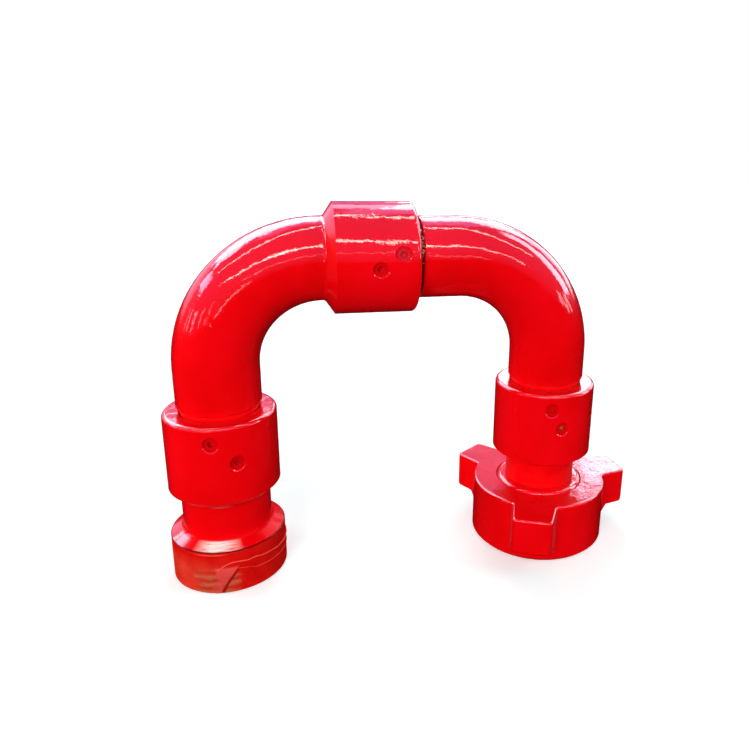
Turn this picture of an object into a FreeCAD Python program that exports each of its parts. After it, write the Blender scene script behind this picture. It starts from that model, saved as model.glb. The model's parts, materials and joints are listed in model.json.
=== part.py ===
"""High-pressure swivel joint: two long-sweep elbows and three ball-race swivels between a threaded
union end and a lugged wing-nut end, standing on both ends.

Frame, in millimetres: the origin is the centre of the threaded end's bottom face, +Z runs up that leg,
+X points to the leg with the wing nut, and -Y is the side with the ball plugs.
A swivel has a frame of its own: its origin is the centre of the female body's open face and its Z axis
points out of the body, along the male end that sits in it.
"""
import FreeCAD, Part
import math
import os
from types import SimpleNamespace

import Sketcher
from FreeCAD import Vector

os.makedirs("parts", exist_ok=True)
doc = FreeCAD.newDocument("swivel_joint")

# Driving sizes
DRIVING_SIZES = {
    # flow line
    "bore_dia": 47.6,
    "elbow_dia": 81,
    "bend_radius": 102,
    # straight runs from each bend to the face of the swivel body that it enters
    "left_run": 44,
    "cross_run": 46.5,
    # straight run from the left bend to the taper of the body forged on it
    "forged_run": 2.5,
    # female swivel bodies
    "body_dia": 108,
    "body_length": 78,
    "body_taper": 9,
    "face_round": 4,
    "neck_round": 5,
    "elbow_taper_round": 3.5,
    "mouth_chamfer": 1.2,
    # male ends
    "male_dia": 75,
    "male_length": 57,
    "male_chamfer": 1.5,
    "running_gap": 0.3,
    "end_gap": 4.5,
    "end_round": 2.5,
    # ball races
    "ball_dia": 12.7,
    "ball_play": 0.3,
    "groove_gap": 0.25,
    "outer_row": 17,
    "inner_row": 38,
    # packing at the male end's tip
    "packing_dia": 64,
    "packing_depth": 10,
    "tip_gap": 1,
    "backup_thickness": 2,
    "lip_depth": 2.5,
    "fit_gap": 0.15,
    # dust seal under the open face
    "dust_start": 2.6,
    "dust_width": 4.4,
    "dust_depth": 3.6,
    # ball plugs and what keeps them in
    "loading_play": 1.3,
    "plug_recess": 2.5,
    "plug_reach": 3.5,
    "plug_socket": 6,
    "socket_depth": 4,
    "clip_thickness": 1,
    "clip_width": 1.8,
    "clip_bite": 0.7,
    "clip_open": 40,
    "plug_ring_dia": 1.8,
    "plug_ring_depth": 3,
    # turn of each plug about its swivel's axis
    "left_outer_turn": -6,
    "left_inner_turn": 19,
    "cross_outer_turn": -12,
    "cross_inner_turn": 3,
    "right_outer_turn": -11,
    "right_inner_turn": 2,
    # threaded union end
    "thread_dia": 111,
    "thread_pitch": 8.467,
    "thread_depth": 4.3,
    "thread_length": 36,
    "thread_chamfer": 2,
    "relief_width": 5.5,
    "union_land": 3.5,
    "shoulder_rise": 7,
    "left_neck_dia": 86.4,
    "left_neck_length": 35,
    "seat_throat_dia": 72,
    "seat_depth": 16,
    "seal_dia": 76,
    "seal_length": 18,
    "seal_height": 12,
    "seal_backup": 2.5,
    # film wound on the thread
    "film_thickness": 0.9,
    "film_lap": 1.1,
    "film_margin": 0.8,
    "lap_height": 29,
    "lap_start": 3,
    "lap_turn": 150,
    # wing-nut end
    "right_neck_dia": 76,
    "right_neck_length": 67.5,
    "nose_tip_dia": 60,
    "nose_room": 5.2,
    "nose_rise": 22,
    "nose_sphere": 34,
    "nose_length": 28,
    "segment_step": 12,
    "segment_lip": 3.3,
    "collar_top": 68,
    "collar_round": 5.5,
    "segment_split": 0.6,
    "clip_ring_height": 3,
    "clip_ring_depth": 1.8,
    "clip_ring_open": 14,
    "nut_dia": 148,
    "nut_height": 65,
    "nut_flange": 17,
    "nut_thread_gap": 0.5,
    "nut_relief": 7,
    "nut_rim_chamfer": 3,
    "nut_edge": 2.5,
    "nut_turn": -23.5,
    "lug_count": 3,
    "lug_reach": 103.5,
    "lug_root_width": 48,
    "lug_tip_width": 41,
    "lug_depth": 40,
    "lug_corner": 6,
    "lug_fillet": 4,
    "lug_foot_round": 4,
    "gusset_reach": 9,
    "gusset_rise": 14,
}

# Fixed choices of the drawing
RIGHT_OF_TRAVEL, LEFT_OF_TRAVEL = 1, -1
PICK_NEAR = 0.01
SEGMENTS = 3
THREAD_FLANK = math.tan(math.radians(14.5))

sheet = doc.addObject("Spreadsheet::Sheet", "sizes")
for row, (alias, number) in enumerate(DRIVING_SIZES.items(), start=1):
    sheet.set(f"A{row}", f"{number:g}")
    sheet.setAlias(f"A{row}", alias)
doc.recompute()


class Size:
    """A length or an angle: its number, and the formula that ties it to the sheet."""

    def __init__(self, number, formula):
        self.number = number
        self.formula = formula

    def __add__(self, other):
        return combined(self, "+", other)

    def __radd__(self, other):
        return combined(other, "+", self)

    def __sub__(self, other):
        return combined(self, "-", other)

    def __rsub__(self, other):
        return combined(other, "-", self)

    def __mul__(self, other):
        return combined(self, "*", other)

    def __rmul__(self, other):
        return combined(other, "*", self)

    def __truediv__(self, other):
        return combined(self, "/", other)

    def __neg__(self):
        return combined(0, "-", self)


OPERATIONS = {
    "+": lambda a, b: a + b,
    "-": lambda a, b: a - b,
    "*": lambda a, b: a * b,
    "/": lambda a, b: a / b,
}


def as_size(value):
    """A plain number as a Size that no cell drives."""
    if isinstance(value, Size):
        return value
    return Size(float(value), f"({value:g})")


def combined(left, sign, right):
    left, right = as_size(left), as_size(right)
    number = OPERATIONS[sign](left.number, right.number)
    return Size(number, f"({left.formula} {sign} {right.formula})")


s = SimpleNamespace(**{a: Size(float(n), f"sizes.{a}") for a, n in DRIVING_SIZES.items()})


def smaller(left, right):
    """The smaller of two sizes, such as a fillet and what its wall leaves room for."""
    left, right = as_size(left), as_size(right)
    return Size(min(left.number, right.number), f"min({left.formula}; {right.formula})")


# Sizes that follow from the driving ones. Each bored solid is drawn from the core's radius out, and
# its bore then takes away what stands between the two.
bore_r = s.bore_dia / 2
core_r = bore_r / 2
seat_gap = s.fit_gap / 3
elbow_r = s.elbow_dia / 2
body_r = s.body_dia / 2
male_r = s.male_dia / 2
cavity_r = male_r + s.running_gap
groove_r = s.ball_dia / 2 + s.groove_gap
packing_r = s.packing_dia / 2
packing_top = s.male_length + s.tip_gap
packing_floor = packing_top + s.packing_depth
body_total = s.body_length + s.body_taper
plug_hole_r = (s.ball_dia + s.loading_play) / 2
plug_face = body_r - s.plug_recess - s.clip_thickness

# The threaded leg, from the floor up, and the height of the cross swivel's axis
thread_r = s.thread_dia / 2
root_r = thread_r - s.thread_depth
union_length = s.thread_length + s.relief_width + s.union_land
left_neck_foot = union_length + s.shoulder_rise
left_face = left_neck_foot + s.left_neck_length + body_total
bend_start = left_face + s.left_run
axis_height = bend_start + s.bend_radius
seal_floor = s.seat_depth + s.seal_length

# Across, from the threaded leg to the wing-nut leg
cross_taper_start = s.bend_radius + s.forged_run
cross_face = cross_taper_start + body_total
right_bend_end = cross_face + s.cross_run
leg_spacing = right_bend_end + s.bend_radius

# The wing-nut leg, from the floor up, and outwards from its nose to its nut
right_face = s.nose_length + s.right_neck_length + body_total
nut_r = s.nut_dia / 2
nut_root_r = thread_r + s.nut_thread_gap
nut_crest_r = root_r + s.nut_thread_gap
nose_r = nut_crest_r - s.nose_room
seat_r = nose_r + s.nut_thread_gap
neck_gap_r = s.right_neck_dia / 2 + s.fit_gap
segment_r = nut_crest_r - s.nut_thread_gap
collar_r = segment_r - s.segment_lip
collar_round = smaller(s.collar_round, (collar_r - neck_gap_r) * 0.8)
segment_seat = s.nose_length + s.fit_gap
segment_shoulder = segment_seat + s.segment_step
nut_shelf = s.nut_height - s.nut_flange
nut_bore_r = collar_r + s.nut_thread_gap
lug_foot = s.nut_height - s.lug_depth
gusset_foot = lug_foot - s.gusset_rise


# Placements, as formulas of the sheet
def place(x=0, y=0, z=0, yaw=0, pitch=0, roll=0):
    base = "; ".join(as_size(v).formula for v in (x, y, z))
    turn = "; ".join(as_size(v).formula for v in (yaw, pitch, roll))
    return f"placement(vector({base}); rotation({turn}))"


LEFT = SimpleNamespace(name="left", frame=place(z=left_face))
CROSS = SimpleNamespace(name="cross", frame=place(x=cross_face, z=axis_height, pitch=90))
RIGHT = SimpleNamespace(name="right", frame=place(x=leg_spacing, z=right_face))
ROWS = {"outer": s.outer_row, "inner": s.inner_row}


def turn_of(swivel, row):
    """The angle of a ball plug about its swivel's axis, from -Y."""
    return getattr(s, f"{swivel.name}_{row}_turn")


def plug_frame(swivel_frame, row, turn):
    """At a race's centre, with Z pointing out through the ball plug."""
    return f"{swivel_frame} * {place(z=-ROWS[row], yaw=turn - 90, pitch=90)}"


# Sketch and feature helpers
def origin_of(body, role):
    return next(f for f in body.Origin.OriginFeatures if f.Role == role)


def new_body(label, frame=None):
    body = doc.addObject("PartDesign::Body", label)
    body.Label = label
    if frame:
        body.setExpression("Placement", frame)
    return body


def new_sketch(body, name, frame=None):
    """A sketch on the XY plane of a frame, or of the body itself."""
    sketch = body.newObject("Sketcher::SketchObject", f"{body.Name}_{name}")
    sketch.AttachmentSupport = [(origin_of(body, "XY_Plane"), "")]
    sketch.MapMode = "FlatFace"
    if frame:
        sketch.setExpression("AttachmentOffset", frame)
    return sketch


def upright(frame):
    """The XZ plane of a frame: a sketch's x runs out from the axis and its y runs along it."""
    return f"{frame} * {place(roll=90)}"


def tie(sketch, kind, geometry, point, value):
    """Hold one coordinate of a sketch point, measured from the sketch's origin."""
    value = as_size(value)
    index = sketch.addConstraint(Sketcher.Constraint(kind, -1, 1, geometry, point, value.number))
    sketch.setExpression(f"Constraints[{index}]", value.formula)


def tie_radius(sketch, geometry, value):
    index = sketch.addConstraint(Sketcher.Constraint("Radius", geometry, value.number))
    sketch.setExpression(f"Constraints[{index}]", value.formula)


def add_arc(sketch, start, end, radius, bulge):
    """The short arc between two points, which bulges to the right of travel, or to its left."""
    chord = end - start
    offset = math.sqrt(radius.number**2 - chord.Length**2 / 4) * bulge
    centre = (start + end) / 2 + Vector(-chord.y, chord.x, 0).normalize() * offset
    angles = [math.atan2(p.y - centre.y, p.x - centre.x) for p in (start, end)][::bulge]
    if angles[1] < angles[0]:
        angles[1] += 2 * math.pi
    circle = Part.Circle(centre, Vector(0, 0, 1), radius.number)
    arc = sketch.addGeometry(Part.ArcOfCircle(circle, *angles), False)
    tie_radius(sketch, arc, radius)
    return (arc, 1, 2) if bulge == RIGHT_OF_TRAVEL else (arc, 2, 1)


def draw(sketch, points, closed=True):
    """A chain of lines through the points. A point with a radius and a side starts an arc."""
    ends = [Vector(as_size(p[0]).number, as_size(p[1]).number, 0) for p in points]
    runs = []
    for i in range(len(points) if closed else len(points) - 1):
        start, end = ends[i], ends[(i + 1) % len(ends)]
        if len(points[i]) == 2:
            runs.append((sketch.addGeometry(Part.LineSegment(start, end), False), 1, 2))
        else:
            runs.append(add_arc(sketch, start, end, *points[i][2:]))
    for i, (geometry, first, last) in enumerate(runs):
        tie(sketch, "DistanceX", geometry, first, points[i][0])
        tie(sketch, "DistanceY", geometry, first, points[i][1])
        if closed or i + 1 < len(runs):
            following, start, _ = runs[(i + 1) % len(runs)]
            joint = Sketcher.Constraint("Coincident", geometry, last, following, start)
            sketch.addConstraint(joint)
        else:
            tie(sketch, "DistanceX", geometry, last, points[-1][0])
            tie(sketch, "DistanceY", geometry, last, points[-1][1])


def draw_circle(sketch, x, y, radius):
    centre = Vector(as_size(x).number, as_size(y).number, 0)
    circle = Part.Circle(centre, Vector(0, 0, 1), radius.number)
    index = sketch.addGeometry(circle, False)
    tie(sketch, "DistanceX", index, 3, x)
    tie(sketch, "DistanceY", index, 3, y)
    tie_radius(sketch, index, radius)


def turn_sketch(body, name, sketch, kind, axis="V_Axis", angle=360):
    feature = body.newObject(f"PartDesign::{kind}", f"{body.Name}_{name}")
    feature.Profile = sketch
    feature.ReferenceAxis = (sketch, [axis])
    feature.setExpression("Angle", as_size(angle).formula)
    return feature


def turned(body, name, points, frame=place(), kind="Revolution", angle=360):
    """A profile of (radius, height) points turned about the Z axis of a frame."""
    sketch = new_sketch(body, f"{name}_profile", upright(frame))
    draw(sketch, points)
    return turn_sketch(body, name, sketch, kind, angle=angle)


def turned_circles(body, name, circles, frame=place(), kind="Revolution", axis="V_Axis"):
    """Round sections (radius of turn, height, radius of section) turned about a frame's axis."""
    sketch = new_sketch(body, f"{name}_section", upright(frame))
    for circle in circles:
        draw_circle(sketch, *circle)
    return turn_sketch(body, name, sketch, kind, axis)


def piped(body, name, start, route, radius, kind):
    """A round section carried along a route of (x, z) points in the plane of both legs."""
    section = new_sketch(body, f"{name}_section", start)
    draw_circle(section, 0, 0, radius)
    spine = new_sketch(body, f"{name}_route", upright(place()))
    draw(spine, route, closed=False)
    pipe = body.newObject(f"PartDesign::{kind}", f"{body.Name}_{name}")
    pipe.Profile = section
    pipe.Spine = (spine, [f"Edge{i}" for i in range(1, len(route))])
    return pipe


def rounded(body, name, radius, wanted):
    """A fillet on the edges of the body so far that the test picks."""
    doc.recompute()
    base = body.Tip
    edges = [f"Edge{i}" for i, edge in enumerate(base.Shape.Edges, start=1) if wanted(edge)]
    fillet = body.newObject("PartDesign::Fillet", f"{body.Name}_{name}")
    fillet.Base = (base, edges)
    fillet.setExpression("Radius", radius.formula)
    return fillet


def is_ring(edge, centre, radius):
    """Is the edge a circle, or part of one, with this centre and radius?"""
    if not isinstance(edge.Curve, Part.Circle):
        return False
    point = Vector(*(as_size(v).number for v in centre))
    near = (edge.Curve.Center - point).Length < PICK_NEAR
    return near and abs(edge.Curve.Radius - as_size(radius).number) < PICK_NEAR


# What every swivel shares, each in the swivel's own frame
def add_male_end(body, name, frame):
    """The turned end that carries the ball races, up to where the elbow's full diameter begins."""
    groove_start = -(s.dust_start + s.dust_width)
    top = s.end_gap + s.end_round
    turned(body, name, [
        (core_r, -s.male_length),
        (male_r - s.male_chamfer, -s.male_length),
        (male_r, -s.male_length + s.male_chamfer),
        (male_r, groove_start),
        (male_r - s.dust_depth, groove_start),
        (male_r - s.dust_depth, -s.dust_start),
        (male_r, -s.dust_start),
        (male_r, s.end_gap),
        (elbow_r - s.end_round, s.end_gap, s.end_round, RIGHT_OF_TRAVEL),
        (elbow_r, top),
        (core_r, top),
    ], frame)


def add_female_body(body, frame, neck_r):
    """The swivel body outside: its taper from the neck, its cylinder and its open face."""
    turned(body, "swivel_body", [
        (core_r, -body_total),
        (neck_r, -body_total),
        (body_r, -s.body_length),
        (body_r, -s.face_round, s.face_round, RIGHT_OF_TRAVEL),
        (body_r - s.face_round, 0),
        (core_r, 0),
    ], frame)


def cut_female_cavity(body, frame):
    """The bore for the male end, the pocket for the packing, and the chamfered mouth."""
    turned(body, "cavity", [
        (core_r, -packing_floor),
        (packing_r, -packing_floor),
        (packing_r, -packing_top),
        (cavity_r, -packing_top),
        (cavity_r, -s.mouth_chamfer),
        (cavity_r + s.mouth_chamfer, 0),
        (core_r, 0),
    ], frame, "Groove")


def cut_races(body, frame, name="races"):
    circles = [(male_r, -row, groove_r) for row in ROWS.values()]
    turned_circles(body, name, circles, frame, "Groove")


def cut_plug_holes(body, swivel, frame):
    """Stepped holes through which the balls are loaded, each with a groove for its clip."""
    hole_r = plug_hole_r
    clip_groove_r = hole_r + s.clip_bite
    clip_groove_top = plug_face + s.clip_thickness + s.fit_gap
    for row in ROWS:
        hole = plug_frame(frame, row, turn_of(swivel, row))
        turned(body, f"{row}_plug_hole", [
            (0, male_r),
            (hole_r, male_r),
            (hole_r, plug_face),
            (clip_groove_r, plug_face),
            (clip_groove_r, clip_groove_top),
            (hole_r, clip_groove_top),
            (hole_r, body_r - s.mouth_chamfer),
            (hole_r + s.mouth_chamfer * 2, body_r + s.mouth_chamfer),
            (0, body_r + s.mouth_chamfer),
        ], hole, "Groove")


def make_balls(swivel):
    """Both ball races: full rows, loaded through the plug holes."""
    for row, depth in ROWS.items():
        body = new_body(f"{swivel.name}_{row}_balls", f"{swivel.frame} * {place(z=-depth)}")
        ball = body.newObject("PartDesign::AdditiveSphere", f"{body.Name}_ball")
        ball.AttachmentSupport = [(origin_of(body, "XY_Plane"), "")]
        ball.MapMode = "FlatFace"
        ball.setExpression("AttachmentOffset", place(x=male_r))
        ball.setExpression("Radius", (s.ball_dia / 2).formula)
        doc.recompute()
        ring = body.newObject("PartDesign::PolarPattern", f"{body.Name}_ring")
        ring.Originals = [ball]
        ring.Axis = (origin_of(body, "Z_Axis"), [""])
        ring.Angle = 360
        count = f"floor(pi * {(male_r * 2).formula} / {(s.ball_dia + s.ball_play).formula})"
        ring.setExpression("Occurrences", count)
        body.Tip = ring


def make_seals(swivel):
    """The packing and its anti-extrusion ring under the male end's tip, and the dust seal."""
    inner = bore_r + s.fit_gap
    outer = packing_r - s.fit_gap
    backup_top = -(s.male_length + s.fit_gap)
    backup_foot = backup_top - s.backup_thickness
    packing_foot = -packing_floor + s.fit_gap
    packing_head = backup_foot - seat_gap
    middle = (inner + outer) / 2

    packing = new_body(f"{swivel.name}_packing_ring", swivel.frame)
    turned(packing, "ring", [
        (inner, packing_foot),
        (outer, packing_foot),
        (outer, packing_head),
        (middle + s.lip_depth / 2, packing_head),
        (middle, packing_head - s.lip_depth),
        (middle - s.lip_depth / 2, packing_head),
        (inner, packing_head),
    ])
    backup = new_body(f"{swivel.name}_backup_ring", swivel.frame)
    turned(backup, "ring", [
        (inner, backup_foot),
        (outer, backup_foot),
        (outer, backup_top),
        (inner, backup_top),
    ])
    dust = new_body(f"{swivel.name}_dust_seal", swivel.frame)
    section_r = (s.dust_depth + s.running_gap) / 2 - s.fit_gap / 2
    height = -(s.dust_start + s.dust_width / 2)
    turned_circles(dust, "ring", [(cavity_r - s.fit_gap / 2 - section_r, height, section_r)])


def make_plugs(swivel):
    """A ball plug for each race, with a saddle that completes the race, its seal and its clip."""
    hole_r = plug_hole_r
    plug_r = hole_r - s.fit_gap
    ring_r = s.plug_ring_dia / 2
    ring_mid = plug_face - s.plug_ring_depth
    groove_half = ring_r + s.fit_gap
    groove_floor = hole_r - s.plug_ring_dia - s.fit_gap
    head = plug_face - seat_gap
    corner = s.plug_socket / math.sqrt(3)
    hexagon = [math.radians(60 * k) for k in range(6)]
    for row in ROWS:
        frame = plug_frame(swivel.frame, row, turn_of(swivel, row))
        plug = new_body(f"{swivel.name}_{row}_plug", frame)
        turned(plug, "shank", [
            (0, male_r + s.plug_reach),
            (plug_r, male_r + s.plug_reach),
            (plug_r, ring_mid - groove_half),
            (groove_floor, ring_mid - groove_half),
            (groove_floor, ring_mid + groove_half),
            (plug_r, ring_mid + groove_half),
            (plug_r, head),
            (0, head),
        ])
        saddle = new_sketch(plug, "saddle_section", upright(place()))
        draw_circle(saddle, 0, male_r, groove_r)
        turn_sketch(plug, "saddle", saddle, "Groove", "H_Axis")
        socket = new_sketch(plug, "socket_outline", place(z=head))
        draw(socket, [(corner * math.cos(a), corner * math.sin(a)) for a in hexagon])
        pocket = plug.newObject("PartDesign::Pocket", f"{plug.Name}_socket")
        pocket.Profile = socket
        pocket.setExpression("Length", s.socket_depth.formula)

        seal = new_body(f"{swivel.name}_{row}_plug_seal", frame)
        turned_circles(seal, "ring", [(groove_floor + ring_r + s.fit_gap / 2, ring_mid, ring_r)])

        clip = new_body(f"{swivel.name}_{row}_plug_clip", frame)
        clip_outer = hole_r + s.clip_bite - s.fit_gap
        clip_foot = plug_face + seat_gap
        turned(clip, "ring", [
            (clip_outer - s.clip_width, clip_foot),
            (clip_outer, clip_foot),
            (clip_outer, plug_face + s.clip_thickness),
            (clip_outer - s.clip_width, plug_face + s.clip_thickness),
        ], place(yaw=s.clip_open / 2), angle=360 - s.clip_open)


def cut_bore(body, name, foot, head):
    """A straight flow bore about the body's own Z axis."""
    turned(body, name, [(0, foot), (bore_r, foot), (bore_r, head), (0, head)], kind="Groove")


# Threaded union end, with the left swivel's body
def make_female_union():
    body = new_body("female_union_sub")
    neck_r = s.left_neck_dia / 2
    turned(body, "union_end", [
        (core_r, 0),
        (thread_r - s.thread_chamfer, 0),
        (thread_r, s.thread_chamfer),
        (thread_r, s.thread_length),
        (root_r, s.thread_length),
        (root_r, s.thread_length + s.relief_width),
        (thread_r, s.thread_length + s.relief_width),
        (thread_r, union_length),
        (neck_r, left_neck_foot),
        (neck_r, left_face - body_total),
        (core_r, left_face - body_total),
    ])
    add_female_body(body, LEFT.frame, neck_r)
    rounded(body, "neck_rounds", s.neck_round, lambda edge: (
        is_ring(edge, (0, 0, left_face - body_total), neck_r)
        or is_ring(edge, (0, 0, left_neck_foot), neck_r)))
    cut_bore(body, "bore", seal_floor, left_face)
    turned(body, "seat", [
        (0, 0),
        (seat_r, 0),
        (s.seat_throat_dia / 2, s.seat_depth),
        (s.seal_dia / 2, s.seat_depth),
        (s.seal_dia / 2, seal_floor),
        (0, seal_floor),
    ], kind="Groove")
    cut_female_cavity(body, LEFT.frame)
    cut_races(body, LEFT.frame)
    cut_plug_holes(body, LEFT, LEFT.frame)
    cut_thread(body, root_r, thread_r, s.thread_length + s.relief_width / 2)


def cut_thread(body, floor_r, mouth_r, end):
    """A right-hand trapezoidal groove, whose middle ends at this height, in the relief."""
    half_floor = s.thread_pitch / 4 - s.thread_depth * THREAD_FLANK / 2
    half_mouth = s.thread_pitch / 4 + s.thread_depth * THREAD_FLANK / 2
    sketch = new_sketch(body, "thread_groove", upright(place(z=-s.thread_pitch)))
    draw(sketch, [
        (floor_r, -half_floor),
        (mouth_r, -half_mouth),
        (mouth_r, half_mouth),
        (floor_r, half_floor),
    ])
    helix = body.newObject("PartDesign::SubtractiveHelix", f"{body.Name}_thread")
    helix.Profile = sketch
    helix.ReferenceAxis = (sketch, ["V_Axis"])
    helix.Mode = "pitch-height-angle"
    helix.LeftHanded = False
    helix.setExpression("Pitch", s.thread_pitch.formula)
    helix.setExpression("Height", (s.thread_pitch + end).formula)


def make_union_seal():
    """The lip seal in the threaded end's mouth, backed by its brass ring."""
    inner = bore_r + s.fit_gap
    outer = s.seal_dia / 2 - s.fit_gap
    backup_head = seal_floor - s.fit_gap
    seal_head = backup_head - s.seal_backup - seat_gap
    seal_foot = seal_head - s.seal_height
    middle = (inner + outer) / 2
    seal = new_body("union_lip_seal")
    turned(seal, "ring", [
        (inner, seal_foot + s.lip_depth),
        (middle, seal_foot),
        (outer, seal_foot + s.lip_depth),
        (outer, seal_head),
        (inner, seal_head),
    ])
    backup = new_body("union_backup_ring")
    turned(backup, "ring", [
        (inner, seal_head + seat_gap),
        (outer, seal_head + seat_gap),
        (outer, backup_head),
        (inner, backup_head),
    ])


def make_film():
    """Protective film wound on the thread: one full turn, and a lap of a second over it."""
    film = new_body("thread_film")
    inner = thread_r + s.fit_gap
    outer = inner + s.film_thickness
    top = union_length - s.film_margin / 2
    turned(film, "turn", [
        (inner, s.film_margin),
        (outer, s.film_margin),
        (outer, top),
        (inner, top),
    ])
    turned(film, "lap", [
        (inner + s.film_thickness / 2, s.film_margin),
        (outer + s.film_lap, s.film_margin),
        (outer + s.film_lap, s.lap_height),
        (inner + s.film_thickness / 2, s.lap_height),
    ], place(yaw=s.lap_start - 90), angle=s.lap_turn)


# Elbows
def make_left_elbow():
    """Male end down into the threaded leg, and the cross swivel's body forged on the other end."""
    body = new_body("left_elbow")
    foot = left_face + s.end_gap + s.end_round
    piped(body, "bend", place(z=foot), [
        (0, foot),
        (0, bend_start, s.bend_radius, LEFT_OF_TRAVEL),
        (s.bend_radius, axis_height),
        (cross_taper_start, axis_height),
    ], elbow_r, "AdditivePipe")
    add_male_end(body, "male_end", LEFT.frame)
    add_female_body(body, CROSS.frame, elbow_r)
    rounded(body, "taper_rounding", s.elbow_taper_round,
            lambda edge: is_ring(edge, (cross_taper_start, 0, axis_height), elbow_r))
    tip = left_face - s.male_length
    piped(body, "bore", place(z=tip), [
        (0, tip),
        (0, bend_start, s.bend_radius, LEFT_OF_TRAVEL),
        (s.bend_radius, axis_height),
        (cross_face, axis_height),
    ], bore_r, "SubtractivePipe")
    cut_female_cavity(body, CROSS.frame)
    cut_races(body, LEFT.frame, "male_races")
    cut_races(body, CROSS.frame, "female_races")
    cut_plug_holes(body, CROSS, CROSS.frame)


def make_right_elbow():
    """Male at both ends: across into the cross swivel and down into the wing-nut leg."""
    body = new_body("right_elbow")
    foot = right_face + s.end_gap + s.end_round
    cross_start = cross_face + s.end_gap + s.end_round
    leg = leg_spacing
    piped(body, "bend", place(x=leg, z=foot), [
        (leg, foot),
        (leg, bend_start, s.bend_radius, RIGHT_OF_TRAVEL),
        (right_bend_end, axis_height),
        (cross_start, axis_height),
    ], elbow_r, "AdditivePipe")
    add_male_end(body, "down_end", RIGHT.frame)
    add_male_end(body, "cross_end", CROSS.frame)
    tip = right_face - s.male_length
    piped(body, "bore", place(x=leg, z=tip), [
        (leg, tip),
        (leg, bend_start, s.bend_radius, RIGHT_OF_TRAVEL),
        (right_bend_end, axis_height),
        (cross_face - s.male_length, axis_height),
    ], bore_r, "SubtractivePipe")
    cut_races(body, RIGHT.frame, "down_races")
    cut_races(body, CROSS.frame, "cross_races")


# Wing-nut end, in the frame of the right leg
leg_frame = place(x=leg_spacing)


def make_male_union():
    """The round nose, the shoulder that holds the segments, the neck and the right swivel's body."""
    body = new_body("male_union_sub", leg_frame)
    swivel_frame = place(z=right_face)
    neck_r = s.right_neck_dia / 2
    turned(body, "nose", [
        (core_r, 0),
        (s.nose_tip_dia / 2, 0, s.nose_sphere, RIGHT_OF_TRAVEL),
        (nose_r, s.nose_rise),
        (nose_r, s.nose_length),
        (neck_r, s.nose_length),
        (neck_r, right_face - body_total),
        (core_r, right_face - body_total),
    ])
    add_female_body(body, swivel_frame, neck_r)
    rounded(body, "taper_rounding", s.neck_round,
            lambda edge: is_ring(edge, (0, 0, right_face - body_total), neck_r))
    cut_bore(body, "bore", 0, right_face)
    cut_female_cavity(body, swivel_frame)
    cut_races(body, swivel_frame)
    cut_plug_holes(body, RIGHT, swivel_frame)


def make_segments():
    """Three retainer segments round the neck, held by a clip ring: the collar seen above the nut."""
    share = 360 / SEGMENTS
    groove_foot = segment_seat + s.clip_ring_height
    groove_head = segment_seat + 2 * s.clip_ring_height
    for index in range(SEGMENTS):
        turn = s.nut_turn + share * index
        segment = new_body(f"retainer_segment_{index + 1}", f"{leg_frame} * {place(yaw=turn)}")
        turned(segment, "arc", [
            (neck_gap_r, segment_seat),
            (segment_r, segment_seat),
            (segment_r, groove_foot),
            (segment_r - s.clip_ring_depth, groove_foot),
            (segment_r - s.clip_ring_depth, groove_head),
            (segment_r, groove_head),
            (segment_r, segment_shoulder),
            (collar_r, segment_shoulder),
            (collar_r, s.collar_top - collar_round, collar_round, RIGHT_OF_TRAVEL),
            (collar_r - collar_round, s.collar_top),
            (neck_gap_r, s.collar_top),
        ], angle=share - s.segment_split)
    clip = new_body("segment_clip_ring", f"{leg_frame} * {place(yaw=s.nut_turn)}")
    turned(clip, "ring", [
        (segment_r - s.clip_ring_depth + s.fit_gap, groove_foot + s.fit_gap),
        (segment_r - s.fit_gap, groove_foot + s.fit_gap),
        (segment_r - s.fit_gap, groove_head - s.fit_gap),
        (segment_r - s.clip_ring_depth + s.fit_gap, groove_head - s.fit_gap),
    ], angle=360 - s.clip_ring_open)


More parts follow.
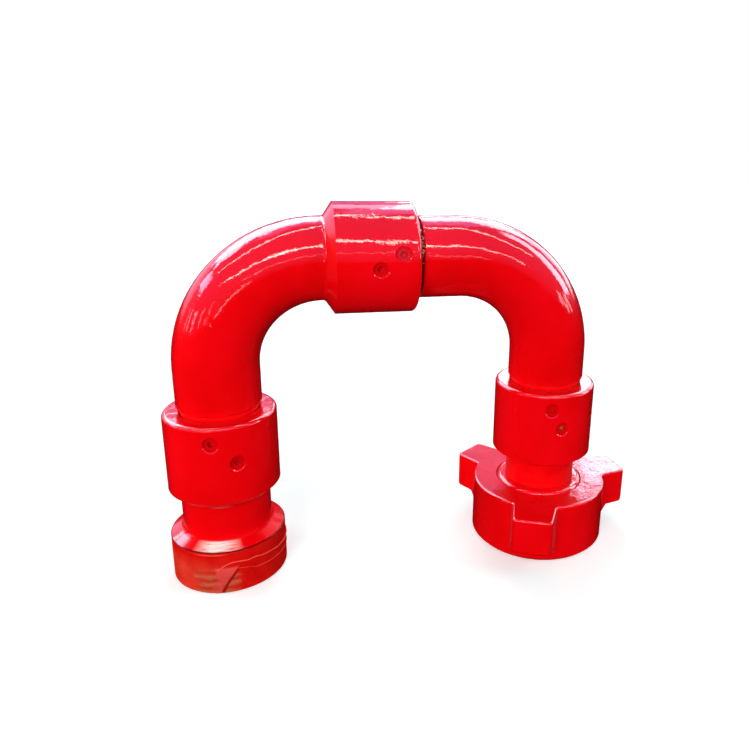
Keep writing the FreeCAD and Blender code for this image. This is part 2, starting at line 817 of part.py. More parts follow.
def make_wing_nut():
    """The hammer nut: three lugs flush with its top, a thread below and a flange over the segments."""
    body = new_body("wing_nut", f"{leg_frame} * {place(yaw=s.nut_turn - 90)}")
    relief_foot = nut_shelf - s.nut_relief
    turned(body, "shell", [
        (nut_crest_r, nut_root_r - nut_crest_r),
        (nut_root_r, 0),
        (nut_r - s.nut_rim_chamfer, 0),
        (nut_r, s.nut_rim_chamfer),
        (nut_r, s.nut_height),
        (nut_bore_r, s.nut_height),
        (nut_bore_r, nut_shelf),
        (nut_root_r, nut_shelf),
        (nut_root_r, relief_foot),
        (nut_crest_r, relief_foot),
    ])
    root_half = s.lug_root_width / 2
    tip_half = s.lug_tip_width / 2
    outline = new_sketch(body, "lug_outline", place(z=gusset_foot))
    draw(outline, [
        (nut_r - s.gusset_reach, -root_half),
        (s.lug_reach, -tip_half),
        (s.lug_reach, tip_half),
        (nut_r - s.gusset_reach, root_half),
    ])
    lug = body.newObject("PartDesign::Pad", "wing_nut_lug")
    lug.Profile = outline
    lug.setExpression("Length", (s.lug_depth + s.gusset_rise).formula)
    doc.recompute()
    lugs = body.newObject("PartDesign::PolarPattern", "wing_nut_lugs")
    lugs.Originals = [lug]
    lugs.Axis = (origin_of(body, "Z_Axis"), [""])
    lugs.Angle = 360
    lugs.setExpression("Occurrences", s.lug_count.formula)
    body.Tip = lugs
    rounded(body, "lug_fillets", s.lug_fillet,
            lambda edge: abs(upright_reach(edge) - nut_r.number) < PICK_NEAR)
    rounded(body, "lug_corners", s.lug_corner,
            lambda edge: upright_reach(edge) > s.lug_reach.number)
    beyond = s.lug_reach + s.lug_corner
    turned(body, "lug_undersides", [
        (nut_r, gusset_foot),
        (nut_r + s.gusset_reach, lug_foot),
        (s.lug_reach - s.lug_foot_round, lug_foot, s.lug_foot_round, RIGHT_OF_TRAVEL),
        (s.lug_reach, lug_foot + s.lug_foot_round),
        (beyond, lug_foot + s.lug_foot_round),
        (beyond, gusset_foot),
    ], kind="Groove")
    rounded(body, "top_edge", s.nut_edge, is_top_edge)
    cut_thread(body, nut_root_r, nut_crest_r, nut_shelf - s.nut_relief / 2)


def upright_reach(edge):
    """The distance from the axis of an edge that runs up the side of a lug, and 0 for any other."""
    ends = [vertex.Point for vertex in edge.Vertexes]
    run = ends[-1] - ends[0]
    is_upright = math.hypot(run.x, run.y) < PICK_NEAR
    is_as_long = abs(abs(run.z) - (s.lug_depth + s.gusset_rise).number) < PICK_NEAR
    return math.hypot(ends[0].x, ends[0].y) if is_upright and is_as_long else 0


def is_top_edge(edge):
    """A piece of the outline of the nut's top face, lugs included."""
    points = [vertex.Point for vertex in edge.Vertexes]
    is_level = all(abs(p.z - s.nut_height.number) < PICK_NEAR for p in points)
    return is_level and math.hypot(points[0].x, points[0].y) > nut_r.number - PICK_NEAR


make_female_union()
make_union_seal()
make_film()
make_left_elbow()
make_right_elbow()
make_male_union()
make_segments()
make_wing_nut()
for swivel in (LEFT, CROSS, RIGHT):
    make_balls(swivel)
    make_seals(swivel)
    make_plugs(swivel)
doc.recompute()

failed = [o.Name for o in doc.Objects if {"Invalid", "Error"} & set(o.State)]
bodies = [o for o in doc.Objects if o.TypeId == "PartDesign::Body"]
failed += [b.Label for b in bodies if b.Shape.isNull() or not b.Shape.isValid()]
if failed:
    raise SystemExit("these did not build: " + ", ".join(failed))
for body in bodies:
    body.Shape.exportStep(f"parts/{body.Label}.step")
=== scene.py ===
"""High-pressure swivel joint in thick red gloss enamel, standing on both ends on a pale floor.

Metres, in the part's own frame: the origin is the centre of the threaded end's bottom face, +Z runs up
that leg, +X points to the leg with the wing nut, and -Y is the side with the ball plugs. Angles are in
degrees: azimuths from +Y towards +X, and angles about the left leg from +X towards +Y.
"""
import json
import math
import random

import bmesh
import bpy
from mathutils import Matrix, Vector, noise


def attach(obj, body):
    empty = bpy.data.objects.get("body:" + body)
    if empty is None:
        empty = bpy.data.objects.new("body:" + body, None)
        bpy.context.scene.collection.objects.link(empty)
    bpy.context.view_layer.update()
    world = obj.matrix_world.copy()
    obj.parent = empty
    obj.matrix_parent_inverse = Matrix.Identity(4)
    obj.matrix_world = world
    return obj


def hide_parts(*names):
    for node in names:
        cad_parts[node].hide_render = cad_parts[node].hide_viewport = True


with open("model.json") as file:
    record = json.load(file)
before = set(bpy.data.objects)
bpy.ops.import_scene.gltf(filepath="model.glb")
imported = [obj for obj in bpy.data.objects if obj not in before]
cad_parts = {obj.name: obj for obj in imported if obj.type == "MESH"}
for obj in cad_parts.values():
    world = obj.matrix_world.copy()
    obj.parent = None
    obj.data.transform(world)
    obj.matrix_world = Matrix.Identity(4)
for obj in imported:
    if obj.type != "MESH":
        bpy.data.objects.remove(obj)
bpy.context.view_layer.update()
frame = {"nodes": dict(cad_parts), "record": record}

SCENE = bpy.context.scene

# Sizes and places on the part
LEG_SPACING = 0.340
CROSS_Z = 0.320
CROSS_FACE = 0.1915
THREAD_R = 0.0555
THREAD_ROOT_R = 0.0515
THREAD_TOP = 0.040
PITCH = 0.008467
MIDDLE = Vector((LEG_SPACING / 2, 0, 0.300))
WORN_SPOT = (0.3439, -0.0463, 0.1424)

# The camera, as fitted to the photograph: its place, where it looks, and its lens in millimetres
CAMERA_PLACE = (0.070382, -0.662106, 0.435188)
CAMERA_FORWARD = (0.2411, 0.9275, -0.2857)
CAMERA_RIGHT = (0.9694, -0.2440, 0.0260)
CAMERA_LENS, CAMERA_SENSOR = 32.713, 36
CAMERA_SHIFT = (-0.1133, -0.0467)

# The room in the gloss: its walls by height, and how steeply a direction has to rise to meet the ceiling
WALLS = ((0.0, (0.0, 0.0, 0.0)), (0.48, (0.01, 0.004, 0.004)), (0.54, (0.30, 0.12, 0.25)),
         (0.70, (0.50, 0.26, 0.70)), (1.0, (0.50, 0.30, 0.75)))
CEILING_FROM = 0.02

# The floor: half its side, and the distances between which it brightens to the white behind it
FLOOR_REACH = 6
FLOOR_FADE = (0.45, 2.2)
FLOOR_GLOW = 0.37

# The enamel's reds
RED = (0.86, 0.0004, 0.0030)
RED_DEEP = (0.76, 0.0002, 0.0015)
RED_BRIGHT = (0.92, 0.0010, 0.0070)

# The film: its edges, its two sides, the most that a fold lifts it, and where its lap has faded out
FILM_LOW, FILM_HIGH = 0.0008, 0.0446
FILM_INSIDE_R = THREAD_R + 0.00018
FILM_OUTSIDE_R = THREAD_R + 0.00056
MOST_LIFT = 0.00118
LAP_END = 66

# The lap's edge and the fold line under it, as points of (angle, height)
LAP_EDGE = ((-98, 0.0268), (-94, 0.0297), (-89, 0.0322), (-84, 0.0337), (-78, 0.0339), (-70, 0.0334),
            (-60, 0.0328), (-52, 0.0320), (-40, 0.0306), (-30, 0.0292), (60, 0.0255))
LAP_LINE = ((-78, 0.0262), (-68, 0.0238), (-62, 0.0222), (-56, 0.0211), (-48, 0.0205), (-27, 0.0196),
            (60, 0.0180))

# The front fold: the angle of its foot, how far it sweeps up to its top, and how sharply it bends
FOLD_FOOT, FOLD_SWEEP, FOLD_BEND = -98, 19, 1.3
FOLD_TOP, FOLD_END = 0.0285, 0.0300

# The rolled upper edge: its height, the angle of its middle and how far it reaches to each side
ROLL_Z, ROLL_MIDDLE, ROLL_REACH = 0.0430, -105, 24

# How far the film is lifted by the rolled edge, the lap's edge, its line and second layer, and the fold
ROLL_LIFT, EDGE_LIFT, LINE_LIFT, LAYER_LIFT, FOLD_LIFT = 0.00110, 0.00105, 0.00085, 0.00015, 0.00045

# How finely the film is divided, round the leg and up it
FILM_AROUND, FILM_ALONG = 600, 140

# The flecks of grease: their number, where they gather, in degrees above the front, and their spread
FLECKS, FLECKS_MIDDLE, FLECKS_SPREAD = 46, 22, 11
FLECKS_R = 0.0384


class Nodes:
    """A node tree, with a short call for each kind of node that the world and the materials use."""

    def __init__(self, tree, coordinates):
        self.tree = tree
        self.place = self.add("ShaderNodeTexCoord").outputs[coordinates]

    def add(self, kind, **settings):
        node = self.tree.nodes.new(kind)
        for key, value in settings.items():
            setattr(node, key, value)
        return node

    def feed(self, value, socket):
        """Link an output to a socket, or set the socket to a number, a vector or an RGB colour."""
        if isinstance(value, bpy.types.NodeSocket):
            self.tree.links.new(value, socket)
        elif socket.type == "RGBA":
            socket.default_value = (*value, 1)
        else:
            socket.default_value = value

    def axes(self):
        node = self.add("ShaderNodeSeparateXYZ")
        self.feed(self.place, node.inputs["Vector"])
        return node.outputs["X"], node.outputs["Y"], node.outputs["Z"]

    def calc(self, operation, *values):
        node = self.add("ShaderNodeMath", operation=operation)
        for value, socket in zip(values, node.inputs):
            self.feed(value, socket)
        return node.outputs["Value"]

    def product(self, *values):
        made = values[0]
        for value in values[1:]:
            made = self.calc("MULTIPLY", made, value)
        return made

    def vector_calc(self, operation, value, output):
        """The place, worked with a fixed vector."""
        node = self.add("ShaderNodeVectorMath", operation=operation)
        self.feed(self.place, node.inputs[0])
        self.feed(value, node.inputs[1])
        return node.outputs[output]

    def length(self, across, along):
        squares = [self.calc("MULTIPLY", side, side) for side in (across, along)]
        return self.calc("SQRT", self.calc("ADD", *squares))

    def angle(self, first, second):
        """Degrees from the first axis towards the second."""
        return self.calc("MULTIPLY", self.calc("ARCTAN2", second, first), math.degrees(1))

    def rise(self, value, low, high):
        """0 at low and before, 1 at high and beyond; low may be the larger of the two."""
        node = self.add("ShaderNodeMapRange")
        self.feed(value, node.inputs["Value"])
        self.feed(low, node.inputs["From Min"])
        self.feed(high, node.inputs["From Max"])
        return node.outputs["Result"]

    def near(self, value, centre, inner, outer):
        """1 up to inner from the centre, 0 from outer on."""
        off = self.calc("ABSOLUTE", self.calc("SUBTRACT", value, centre))
        return self.rise(off, outer, inner)

    def ramp(self, value, *stops):
        """Colours, or greys as one number, each at its place from 0 to 1."""
        node = self.add("ShaderNodeValToRGB")
        elements = node.color_ramp.elements
        while len(elements) < len(stops):
            elements.new(0.5)
        for element, (place, color) in zip(elements, stops):
            element.position = place
            element.color = (*color, 1) if isinstance(color, tuple) else (color, color, color, 1)
        self.feed(value, node.inputs["Fac"])
        return node.outputs["Color"]

    def mix(self, share, first, second, blend_type="MIX"):
        """The first colour, with as much of the second as share says in its place, or added to it."""
        node = self.add("ShaderNodeMix", data_type="RGBA", blend_type=blend_type)
        for value, number in ((share, 0), (first, 6), (second, 7)):
            self.feed(value, node.inputs[number])
        return node.outputs[2]

    def grain(self, scale, detail=2.0, roughness=0.5, stretch=None):
        """Noise over the place, which may be stretched along its axes first."""
        node = self.add("ShaderNodeTexNoise")
        self.feed(scale, node.inputs["Scale"])
        self.feed(detail, node.inputs["Detail"])
        self.feed(roughness, node.inputs["Roughness"])
        place = self.vector_calc("MULTIPLY", stretch, "Vector") if stretch else self.place
        self.feed(place, node.inputs["Vector"])
        return node.outputs["Fac"]

    def bump(self, height, distance, strength, below=None):
        node = self.add("ShaderNodeBump")
        self.feed(height, node.inputs["Height"])
        self.feed(distance, node.inputs["Distance"])
        self.feed(strength, node.inputs["Strength"])
        if below is not None:
            self.feed(below, node.inputs["Normal"])
        return node.outputs["Normal"]


class Paint(Nodes):
    """A material, drawn in the part's own frame, so that it moves with its piece."""

    def __init__(self, name, **sockets):
        self.material = bpy.data.materials.new(name)
        self.material.use_nodes = True
        super().__init__(self.material.node_tree, "Object")
        for socket, value in sockets.items():
            self.set(socket.replace("_", " "), value)

    def set(self, socket, value):
        self.feed(value, self.tree.nodes["Principled BSDF"].inputs[socket])


class Room(Nodes):
    """The room that stands in the gloss, drawn by direction and built up light by light."""

    def __init__(self, tree):
        super().__init__(tree, "Generated")
        x, y, self.z = self.axes()
        self.azimuth = self.angle(y, x)
        self.elevation = self.calc("MULTIPLY", self.calc("ARCSINE", self.z), math.degrees(1))
        steep = self.calc("MAXIMUM", self.z, CEILING_FROM)
        self.across = self.calc("DIVIDE", x, steep)
        self.along = self.calc("DIVIDE", y, steep)
        self.height = self.calc("MULTIPLY_ADD", self.z, 0.5, 0.5)
        self.seen = self.ramp(self.height, *WALLS)

    def shine(self, color, *masks):
        """Add a light where all the masks are 1."""
        self.seen = self.mix(self.product(*masks), self.seen, color, "ADD")

    def window(self, azimuth, elevation, color, tilt=0.0, lean=0.0, blur=3.0):
        """A pane between two azimuths and two elevations.

        Its edges tilt by so many degrees for each of azimuth, or lean by so many for each of elevation.
        """
        middle, reach = sum(azimuth) / 2, (azimuth[1] - azimuth[0]) / 2
        centre, rise = sum(elevation) / 2, (elevation[1] - elevation[0]) / 2
        aside = self.calc("WRAP", self.calc("SUBTRACT", self.azimuth, middle), 180.0, -180.0)
        above = self.calc("SUBTRACT", self.elevation, centre)
        if tilt:
            above = self.calc("SUBTRACT", above, self.calc("MULTIPLY", aside, tilt))
        if lean:
            aside = self.calc("SUBTRACT", aside, self.calc("MULTIPLY", above, lean))
        self.shine(color, self.near(aside, 0, reach, reach + blur), self.near(above, 0, rise, rise + blur))

    def tube(self, across, place, slope, bend, reach, color):
        """A tube on the ceiling, one unit up: its place along y is worked out from x across."""
        middle, half = sum(across) / 2, (across[1] - across[0]) / 2
        line = self.calc("MULTIPLY_ADD", self.across, bend, slope)
        line = self.calc("MULTIPLY_ADD", self.across, line, place)
        self.shine(color,
                   self.near(self.along, line, reach, reach * 1.4),
                   self.near(self.across, middle, half, half + 0.03),
                   self.rise(self.z, CEILING_FROM, CEILING_FROM + 0.04))

    def add_left(self):
        """Behind and to the left: windows, their violet blinds, and a row of gaps low down."""
        self.window((-46, 0), (25, 54), (9.0, 8.4, 9.4))
        self.window((3, 13), (39, 52), (3.4, 2.5, 3.4), blur=2)
        self.window((-63, -46), (31, 47), (9.0, 8.2, 10.5), blur=2.5)
        self.window((-62, 0), (57, 64), (1.2, 0.7, 2.0), blur=5)
        self.window((-88, -64), (22, 28), (8.0, 6.4, 9.8), blur=2.5)
        self.window((-58, -20), (6, 20), (1.2, 0.9, 1.2), blur=6)
        for azimuth, strength in ((-79, 1.6), (-89, 3.0), (-104, 5.0), (-120, 2.6), (-134, 1.4)):
            color = [strength * part for part in (1, 0.95, 1.15)]
            self.window((azimuth - 1.2, azimuth + 1.2), (4, 12), color, lean=0.25, blur=1.5)
        self.window((-164, -150), (1.8, 2.8), (4.2, 3.8, 4.0), tilt=-0.3, blur=1.5)

    def add_right(self):
        """Behind and to the right: windows, gaps between posts that lean, and one gap in front."""
        self.window((13, 57), (32.5, 55), (8.5, 7.8, 8.8), blur=1.5)
        self.window((12, 60), (58, 69), (1.2, 0.9, 2.4))
        self.window((40, 64), (6, 34), (4.2, 3.8, 4.2), lean=-0.3)
        self.window((76, 92), (10, 52), (10.0, 9.4, 11.0), lean=-0.3, blur=2.5)
        for azimuth, lean in ((101, 0.6), (108, -0.7), (115, 0.3), (121, -0.5)):
            self.window((azimuth - 1, azimuth + 1), (2, 8), (7.5, 6.4, 7.4), lean=lean, blur=1.5)
        self.window((10, 33), (16, 22), (6.0, 5.6, 5.9), blur=1)
        self.window((25.8, 31), (23.5, 27.4), (9.5, 8.4, 9.8), blur=0.6)
        self.window((162, 168.5), (7.8, 8.8), (3.4, 3.0, 3.2), tilt=1.2, blur=0.8)

    def add_ceiling(self):
        """Tubes in pairs, with a kink where two meet: overhead, in front, and faint further off.

        The one by itself is a stretch in front that is brighter and wider than the rest.
        """
        self.tube((-1.45, 0.10), 0.19, 0.72, 0.42, 0.024, (17, 15.5, 14.5))
        self.tube((0.12, 1.50), 0.30, -1.15, 0.42, 0.024, (17, 15.5, 14.5))
        self.tube((-1.75, 0.05), -1.15, 0.38, 0.24, 0.055, (22, 17.5, 15.5))
        self.tube((0.08, 2.00), -0.92, -1.15, 0.20, 0.055, (22, 17.5, 15.5))
        self.tube((-0.62, -0.26), -1.15, 0.38, 0.24, 0.13, (14, 13.5, 13.5))
        self.tube((-1.70, 0.08), -3.20, 0.11, -0.11, 0.10, (5.0, 4.0, 4.2))
        self.tube((0.11, 0.60), -2.90, 0.0, 0.0, 0.10, (3.2, 2.6, 2.8))


def add_camera():
    """The photograph's viewpoint: low, in front of the left leg, with a short lens."""
    forward = Vector(CAMERA_FORWARD).normalized()
    right = Vector(CAMERA_RIGHT)
    right = (right - forward * right.dot(forward)).normalized()
    up = right.cross(forward)
    data = bpy.data.cameras.new("camera")
    data.lens = CAMERA_LENS
    data.sensor_width = CAMERA_SENSOR
    data.shift_x, data.shift_y = CAMERA_SHIFT
    data.clip_start = 0.01
    camera = bpy.data.objects.new("camera", data)
    turn = Matrix((right, up, -forward)).transposed()
    camera.matrix_world = Matrix.Translation(CAMERA_PLACE) @ turn.to_4x4()
    SCENE.collection.objects.link(camera)
    SCENE.camera = camera


def add_softbox(name, azimuth, elevation, away, size, power, color):
    """A softbox for the paint alone: what stands in its gloss is the room."""
    data = bpy.data.lights.new(name, "AREA")
    data.shape = "RECTANGLE"
    data.size, data.size_y = size
    data.energy = power
    data.color = color
    light = bpy.data.objects.new(name, data)
    around, up = math.radians(azimuth), math.radians(elevation)
    aim = Vector((math.sin(around) * math.cos(up), math.cos(around) * math.cos(up), math.sin(up)))
    light.location = MIDDLE + aim * away
    light.rotation_euler = aim.to_track_quat("Z", "Y").to_euler()
    light.visible_glossy = False
    SCENE.collection.objects.link(light)


def add_lights():
    """Softboxes by azimuth, elevation and distance from the middle of the part."""
    add_softbox("key_softbox", -152, 11, 2.7, size=(1.4, 1.2), power=59, color=(1.0, 0.98, 0.97))
    add_softbox("left_softbox", -76, 8, 2.2, size=(1.0, 1.0), power=19, color=(1.0, 0.98, 0.98))
    add_softbox("right_softbox", 112, 26, 2.2, size=(1.0, 1.0), power=15, color=(1.0, 0.98, 0.99))
    add_softbox("back_softbox", 10, 34, 2.4, size=(1.4, 1.0), power=23, color=(1.0, 0.99, 0.99))


def add_world():
    """White behind everything, a dim room that lights the paint, and the room that the gloss shows.

    The gloss shows the room at a ray's first bounce only, so that it doesn't come back as a second image.
    """
    world = bpy.data.worlds.new("studio")
    world.use_nodes = True
    room = Room(world.node_tree)
    room.add_left()
    room.add_right()
    room.add_ceiling()
    paint_light = room.ramp(room.height, (0.0, 0.16), (0.45, 0.22), (0.55, 0.30), (1.0, 0.34))
    path = room.add("ShaderNodeLightPath")
    first = room.calc("LESS_THAN", path.outputs["Glossy Depth"], 1.5)
    in_gloss = room.product(path.outputs["Is Glossy Ray"], first)
    seen = room.mix(in_gloss, paint_light, room.seen)
    seen = room.mix(path.outputs["Is Camera Ray"], seen, (1.0, 1.0, 1.0))
    room.feed(seen, world.node_tree.nodes["Background"].inputs["Color"])
    SCENE.world = world


def add_mesh(name, work, material):
    """Turn a bmesh into an object of the scene."""
    mesh = bpy.data.meshes.new(name)
    work.to_mesh(mesh)
    work.free()
    mesh.materials.append(material)
    made = bpy.data.objects.new(name, mesh)
    SCENE.collection.objects.link(made)
    return made


def floor_material():
    """Pale, and brighter away from the part, so that it runs into the white behind it."""
    paint = Paint("pale_floor", Roughness=0.75, Specular_IOR_Level=0.1, Emission_Color=(1, 1, 1))
    tones = ((0.3, (0.74, 0.90, 0.90)), (0.7, (0.77, 0.93, 0.93)))
    paint.set("Base Color", paint.ramp(paint.grain(3.0, 3), *tones))
    x, y, _ = paint.axes()
    away = paint.length(paint.calc("SUBTRACT", x, MIDDLE.x), y)
    paint.set("Emission Strength", paint.calc("MAXIMUM", paint.rise(away, *FLOOR_FADE), FLOOR_GLOW))
    return paint.material


def add_floor():
    work = bmesh.new()
    bmesh.ops.create_grid(work, x_segments=24, y_segments=24, size=FLOOR_REACH)
    floor = add_mesh("floor", work, floor_material())
    floor.visible_glossy = False
    floor.visible_diffuse = False


def enamel(name, waves=1.0, cast=0.0, dirt_and_painted_light=None, dull=None):
    """Thick gloss enamel, brushed on: long soft waves, orange peel, and a little dust in the film."""
    paint = Paint(name, Specular_IOR_Level=0.04, Coat_Weight=1.0, Coat_Roughness=0.04, Coat_IOR=1.5)
    color = paint.ramp(paint.grain(14, 3, 0.55), (0.30, RED_DEEP), (0.52, RED), (0.75, RED_BRIGHT))
    dust = paint.ramp(paint.grain(700, 2, 0.6), (0.74, 0.0), (0.80, 1.0))
    color = paint.mix(paint.product(dust, 0.12), color, (0.30, 0.004, 0.004))
    # Dirt, with painted light and shade, drawn over the red
    if dirt_and_painted_light:
        color = dirt_and_painted_light(paint, color)
    paint.set("Base Color", color)
    paint.set("Roughness", paint.ramp(paint.grain(45, 3, 0.6), (0.3, 0.24), (0.75, 0.40)))
    if dull:
        paint.set("Coat Weight", dull(paint))
    long_waves = paint.bump(paint.grain(38), 0.0016 * waves, 0.35)
    ripples = paint.bump(paint.grain(130), 0.00045 * waves, 0.35, long_waves)
    peel = paint.bump(paint.grain(420, 1, 0.4), 0.00010 + 0.0002 * cast, 0.5, ripples)
    paint.set("Normal", peel)
    paint.set("Coat Normal", peel)
    return paint.material


def thread_oil_and_painted_light(paint, color):
    """Oil in the thread's grooves, a painted highlight in pale streaks on the cone's front, and painted
    shade along the seam between them.
    """
    x, y, z = paint.axes()
    in_groove = paint.rise(paint.length(x, y), THREAD_R - 0.0002, THREAD_ROOT_R)
    on_thread = paint.rise(z, THREAD_TOP + 0.0040, THREAD_TOP + 0.0025)
    oil = paint.mix(paint.grain(160, 3, 0.6), (0.16, 0.085, 0.025), (0.42, 0.30, 0.11))
    color = paint.mix(paint.product(in_groove, on_thread), color, oil)
    # Painted highlight: pale streaks on the cone's front, where a lamp's reflection falls
    highlight_streaks = paint.grain(5, 3, 0.6, stretch=(16, 16, 420))
    pale = paint.product(paint.near(paint.angle(x, y), -98, 8, 27),
                         paint.near(z, 0.0480, 0.0024, 0.0036),
                         paint.rise(highlight_streaks, 0.26, 0.52))
    color = paint.mix(pale, color, (0.98, 0.86, 0.80))
    # Painted shade: a dark line where the film's top edge meets the cone
    painted_seam_shade = paint.near(z, FILM_HIGH + 0.0001, 0.0005, 0.0010)
    return paint.mix(painted_seam_shade, color, (0.10, 0.002, 0.002))


def cone_gloss(paint):
    """Less gloss on the cone over the thread, where it has been rubbed, but for its left and back."""
    x, y, z = paint.axes()
    about = paint.angle(x, y)
    rubbed = paint.product(paint.rise(about, -142, -135),
                           paint.rise(about, 60, 40),
                           paint.rise(z, 0.064, 0.056))
    return paint.calc("SUBTRACT", 1.0, paint.product(rubbed, 0.95))


def plug_shade_and_wear(paint, color):
    """Painted shade: deeper red over the plugs, standing in for the shade in their recesses; and a rubbed
    brass-coloured spot on the right leg's inner one.
    """
    # Painted shade: the plugs darkened towards a deep red, in patches
    painted_recess_shade = paint.calc("MULTIPLY_ADD", paint.grain(90), 0.3, 0.2)
    color = paint.mix(painted_recess_shade, color, (0.30, 0.0004, 0.0010))
    away = paint.vector_calc("DISTANCE", WORN_SPOT, "Value")
    return paint.mix(paint.rise(away, 0.0030, 0.0014), color, (0.36, 0.14, 0.02))


def gap_grease_and_shade(paint, color):
    """Dark old grease and painted shade in the gap at the middle swivel's open face."""
    x, _, z = paint.axes()
    # Grease and painted shade: a dark band just past the open face, where shade falls in the gap
    band = paint.product(paint.near(x, CROSS_FACE + 0.0022, 0.0022, 0.0032), paint.rise(z, 0.22, 0.24))
    dark = paint.mix(paint.grain(200, 3, 0.6), (0.12, 0.002, 0.002), (0.30, 0.006, 0.005))
    return paint.mix(band, color, dark)


def plain_finish(name, pale, dark, metallic, roughness, scale, depth):
    """A finish in two tones, with its roughness in patches and a fine relief."""
    paint = Paint(name, Metallic=metallic)
    paint.set("Base Color", paint.ramp(paint.grain(scale, 3, 0.6), (0.3, dark), (0.7, pale)))
    smooth, rough = roughness
    paint.set("Roughness", paint.ramp(paint.grain(scale * 2.3), (0.3, smooth), (0.7, rough)))
    paint.set("Normal", paint.bump(paint.grain(scale * 3), depth, 0.6))
    return paint.material


def film_material():
    """Cling film: red all over from the enamel it lies on, olive bands where it stands off the thread."""
    paint = Paint("clear_film", IOR=1.40, Specular_IOR_Level=0.07)
    x, y, z = paint.axes()
    about = paint.angle(x, y)
    mottle = paint.grain(60, 3, 0.6)
    wobble = paint.calc("MULTIPLY_ADD", paint.grain(120, 3, 0.6), math.degrees(0.5), -math.degrees(0.25))
    ragged = paint.calc("ADD", about, wobble)

    # Hazy low on the left
    red = paint.ramp(mottle, (0.3, (0.60, 0.002, 0.002)), (0.75, (0.74, 0.008, 0.005)))
    hazy = paint.ramp(mottle, (0.3, (0.62, 0.020, 0.009)), (0.75, (0.74, 0.050, 0.028)))
    color = paint.mix(paint.product(paint.rise(about, -84, -112), paint.rise(z, 0.040, 0.026)), red, hazy)

    # The thread seen through the film, low at the front
    turn = paint.calc("SUBTRACT", paint.product(z, 360 / PITCH), about)
    turn = paint.calc("MULTIPLY_ADD", wobble, 6.0, turn)
    crest = paint.calc("COSINE", paint.product(turn, math.radians(1)))
    crest = paint.calc("MULTIPLY_ADD", crest, -0.5, 0.5)
    bands = paint.mix(crest, (0.56, 0.032, 0.012), (0.66, 0.150, 0.070))
    clear = paint.product(paint.near(ragged, -101, 13, 25),
                          paint.near(z, 0.0115, 0.007, 0.0165),
                          paint.rise(mottle, 0.26, 0.50))
    color = paint.mix(clear, color, bands)
    paint.set("Transmission Weight", paint.product(clear, 0.25))

    # The front fold, and the shade along its right side
    share = paint.calc("MAXIMUM", paint.calc("DIVIDE", z, FOLD_TOP), 0.0)
    middle = paint.calc("MULTIPLY_ADD", paint.calc("POWER", share, FOLD_BEND), FOLD_SWEEP, FOLD_FOOT)
    beside = paint.calc("SUBTRACT", about, middle)
    below = paint.rise(z, 0.0290, 0.0270)
    fold = paint.product(paint.rise(ragged, -104, -97), paint.rise(beside, 2.0, 1.0),
                         paint.rise(mottle, 0.20, 0.45), below)
    color = paint.mix(fold, color, (0.80, 0.070, 0.060))
    color = paint.mix(paint.product(paint.near(beside, 3.2, 1.0, 2.2), below), color, (0.42, 0.003, 0.002))

    # Painted highlight along the lines that stand out most
    ridge_highlight = paint.rise(paint.length(x, y), THREAD_R + 0.00112, THREAD_R + 0.00150)
    paint.set("Base Color", paint.mix(paint.product(ridge_highlight, 0.8), color, (0.90, 0.17, 0.11)))
    paint.set("Roughness", paint.ramp(paint.grain(90, 3, 0.6), (0.3, 0.22), (0.8, 0.40)))
    paint.set("Normal", paint.bump(paint.grain(4, 3, 0.6, stretch=(22, 22, 90)), 0.0004, 0.4))
    return paint.material


def grease_material():
    """Old grease: olive, with pale crumbs and dark pits."""
    paint = Paint("old_grease", Roughness=0.32)
    tones = ((0.25, (0.05, 0.04, 0.02)), (0.5, (0.34, 0.30, 0.15)), (0.75, (0.62, 0.60, 0.46)))
    paint.set("Base Color", paint.ramp(paint.grain(700, 3, 0.6), *tones))
    paint.set("Normal", paint.bump(paint.grain(900), 0.0002, 0.6))
    return paint.material


def dress(node, material):
    node.data.materials.clear()
    node.data.materials.append(material)


def dress_nodes():
    """Give every solid the finish of its slot, and its own to two that carry dirt with painted light and
    shade.
    """
    plug = enamel("red_enamel_plug", waves=0.6, dirt_and_painted_light=plug_shade_and_wear)
    finishes = {
        "red_enamel": enamel("red_enamel"),
        "nut_enamel": enamel("red_enamel_cast", waves=0.6, cast=0.35),
        "painted_plug": plug,
        "painted_clip": plug,
        "film": film_material(),
        "ball_steel": plain_finish("polished_steel", pale=(0.78, 0.79, 0.81), dark=(0.60, 0.61, 0.63),
                                   metallic=1.0, roughness=(0.08, 0.20), scale=160, depth=0.00002),
        "spring_steel": plain_finish("oiled_steel", pale=(0.45, 0.46, 0.48), dark=(0.22, 0.22, 0.24),
                                     metallic=1.0, roughness=(0.25, 0.45), scale=220, depth=0.00005),
        "black_rubber": plain_finish("nitrile_rubber", pale=(0.035, 0.035, 0.036),
                                     dark=(0.015, 0.015, 0.015), metallic=0.0, roughness=(0.45, 0.65),
                                     scale=260, depth=0.00005),
        "brass": plain_finish("turned_brass", pale=(0.74, 0.55, 0.24), dark=(0.52, 0.36, 0.14),
                              metallic=1.0, roughness=(0.18, 0.34), scale=180, depth=0.00004),
    }
    nodes = frame["nodes"]
    for entry in frame["record"]["subparts"]:
        dress(nodes[entry["node"]], finishes[entry["material_slot"]])
    threaded = enamel("red_enamel_threaded", waves=0.7, dirt_and_painted_light=thread_oil_and_painted_light, dull=cone_gloss)
    dress(nodes["female_union_sub"], threaded)
    dress(nodes["right_elbow"], enamel("red_enamel_greased_shaded", dirt_and_painted_light=gap_grease_and_shade))


def ridge(distance, width):
    return math.exp(-(distance / width) ** 2)


def height_on(line, degrees):
    """The height of a line of (angle, height) points at an angle."""
    for (a, low), (b, high) in zip(line, line[1:]):
        if a <= degrees <= b:
            return low + (high - low) * (degrees - a) / (b - a)
    return line[0][1] if degrees < line[0][0] else line[-1][1]


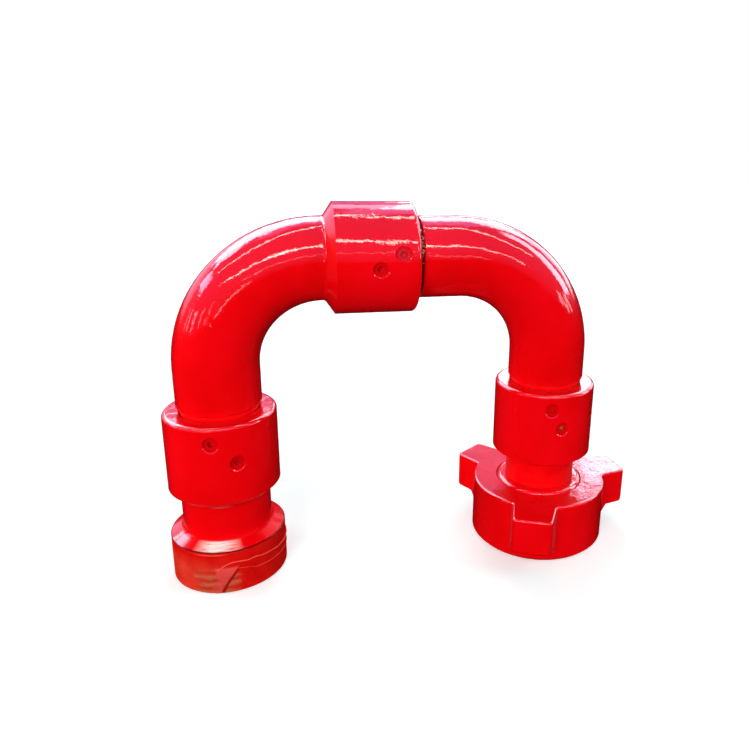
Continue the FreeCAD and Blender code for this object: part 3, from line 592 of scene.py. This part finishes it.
def film_lift(degrees, z):
    """How far the film is lifted by its rolled upper edge, the lap's edge and line, and the front fold."""
    wander = 0.0009 * noise.noise(Vector((degrees * 0.11, 7.7, 0)))
    fade = max(0.0, min(1.0, (LAP_END - degrees) / 40))
    lifts = [ROLL_LIFT * ridge(z - ROLL_Z, 0.0006) * ridge(degrees - ROLL_MIDDLE, ROLL_REACH)]
    if degrees > LAP_EDGE[0][0] - 1:
        above = z - height_on(LAP_EDGE, degrees) - wander
        layer = LAYER_LIFT / (1 + math.exp(above / 0.0004))
        lifts.append((EDGE_LIFT * ridge(above, 0.00060) + layer) * fade)
    if degrees > LAP_LINE[0][0] - 1:
        above = z - height_on(LAP_LINE, degrees) + 0.7 * wander
        lifts.append(LINE_LIFT * ridge(above, 0.00050) * fade)
    if z < FOLD_END:
        middle = FOLD_FOOT + FOLD_SWEEP * (z / FOLD_TOP) ** FOLD_BEND
        aside = degrees - middle - 1.5 * noise.noise(Vector((z * 220, 0, 5)))
        width = 7.0 if aside < 0 else 1.4
        lifts.append(FOLD_LIFT * ridge(aside, width) * min(1.0, (FOLD_END - z) / 0.002))
    return min(max(lifts), MOST_LIFT)


def film_radius(angle, z):
    """Outer radius of the film at an angle about the leg, in radians, and a height."""
    place = Vector((math.cos(angle) * 2.2, math.sin(angle) * 2.2, z * 40))
    radius = FILM_OUTSIDE_R + 0.00010 * noise.noise(place * 2.1)
    if z < THREAD_TOP:
        radius += 0.00012 * (0.5 - 0.5 * math.cos(2 * math.pi * z / PITCH - angle))
    degrees = (math.degrees(angle) + 180) % 360 - 180
    return radius + film_lift(degrees, z)


def add_film():
    """Stretch film in one closed skin: a full turn, a lap over its front right, and its folds."""
    work = bmesh.new()

    def ring(radius_at, z):
        made = []
        for i in range(FILM_AROUND):
            angle = 2 * math.pi * i / FILM_AROUND
            radius = radius_at(angle, z)
            made.append(work.verts.new((radius * math.cos(angle), radius * math.sin(angle), z)))
        return made

    heights = [FILM_LOW + (FILM_HIGH - FILM_LOW) * j / FILM_ALONG for j in range(FILM_ALONG + 1)]
    rings = [ring(film_radius, z) for z in heights]
    rings += [ring(lambda angle, z: FILM_INSIDE_R, z) for z in (FILM_HIGH, FILM_LOW)]
    for j, lower in enumerate(rings):
        upper = rings[(j + 1) % len(rings)]
        for i in range(FILM_AROUND):
            k = (i + 1) % FILM_AROUND
            work.faces.new((lower[i], lower[k], upper[k], upper[i]))
    bmesh.ops.recalc_face_normals(work, faces=work.faces)
    for face in work.faces:
        face.smooth = True
    film = add_mesh("film_wrap", work, film_material())
    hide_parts("thread_film")
    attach(film, "female_union")


def add_grease():
    """Flecks of grease squeezed out of the middle swivel, in the gap at its open face."""
    rng = random.Random(7)
    work = bmesh.new()
    for _ in range(FLECKS):
        about = math.radians(FLECKS_MIDDLE + FLECKS_SPREAD * rng.gauss(0, 1))
        along = CROSS_FACE + 0.0010 + rng.random() * 0.0032
        out = FLECKS_R + rng.random() * 0.0010
        size = 0.0003 + 0.0007 * rng.random()
        centre = Vector((along, -out * math.cos(about), CROSS_Z + out * math.sin(about)))
        made = bmesh.ops.create_icosphere(work, subdivisions=3, radius=size)
        seed = Vector((rng.random() * 50, 0, 0))
        for vertex in made["verts"]:
            vertex.co = vertex.co * (1 + 0.45 * noise.noise(vertex.co * 900 + seed))
            vertex.co.x *= 1.3
            vertex.co += centre
    for face in work.faces:
        face.smooth = True
    flecks = add_mesh("grease_flecks", work, grease_material())
    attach(flecks, "right_elbow")


SCENE.view_settings.view_transform = "Standard"
add_camera()
add_world()
add_floor()
add_lights()
dress_nodes()
add_film()
add_grease()
